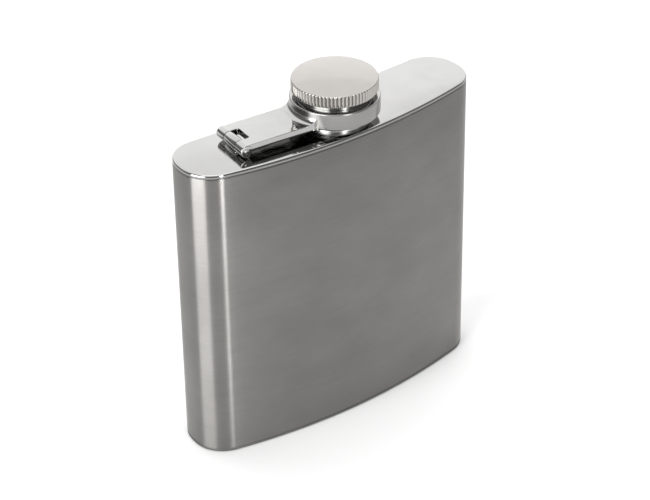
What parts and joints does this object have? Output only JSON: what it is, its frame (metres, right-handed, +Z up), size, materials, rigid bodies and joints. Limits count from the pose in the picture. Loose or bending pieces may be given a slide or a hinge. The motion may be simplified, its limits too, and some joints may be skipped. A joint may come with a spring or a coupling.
{
  "type": "hip flask",
  "caption": "Slim curved steel hip flask with a welded body, a threaded neck and a fluted screw cap held by a hinged arm.",
  "frame": {"origin": "middle of the whole object's footprint, on the surface that it stands on", "axes": "+Z up through the cap, +X from the hinge towards the free end, -Y out of the convex front"},
  "size_m": [0.094, 0.0258, 0.1037],
  "materials": {
    "brushed_shell": "fine brushed stainless steel, lines along the width",
    "polished_plate": "mirror polished stainless steel",
    "neck_steel": "turned stainless steel",
    "hinge_steel": "polished stainless steel",
    "polished_arm": "mirror polished",
    "polished_cap": "mirror polished, fluted rim",
    "insert_steel": "turned, plated",
    "liner_silicone": "translucent white silicone",
    "spring_steel": "plain spring steel"
  },
  "bodies": {
    "flask": {"body_shell": "brushed_shell", "top_plate": "polished_plate", "base_plate": "polished_plate", "neck": "neck_steel", "hinge_bracket": "hinge_steel", "hinge_pin": "hinge_steel"},
    "arm": {"arm": "polished_arm"},
    "ring": {"retaining_ring": "spring_steel"},
    "cap": {"cap_head": "polished_cap", "cap_insert": "insert_steel", "cap_liner": "liner_silicone"}
  },
  "joints": [
    {"name": "arm_hinge", "type": "hinge", "parent": "flask", "child": "arm", "pos_m": [-0.03, 0.00196, 0.09275], "axis": [-0.0785, -0.9969, 0], "range_deg": [0, 175]},
    {"name": "cap_lift", "type": "slide", "parent": "arm", "child": "ring", "axis": [0, 0, 1], "range_m": [0, 0.003]},
    {"name": "cap_turn", "type": "hinge", "parent": "ring", "child": "cap", "pos_m": [0.0015, -0.00052, 0.0995], "axis": [0, 0, 1], "range_deg": [0, 720]}
  ],
  "couplings": [
    {"joint": "cap_turn", "follows": "cap_lift", "rad_per_m": 4188.8}
  ]
}
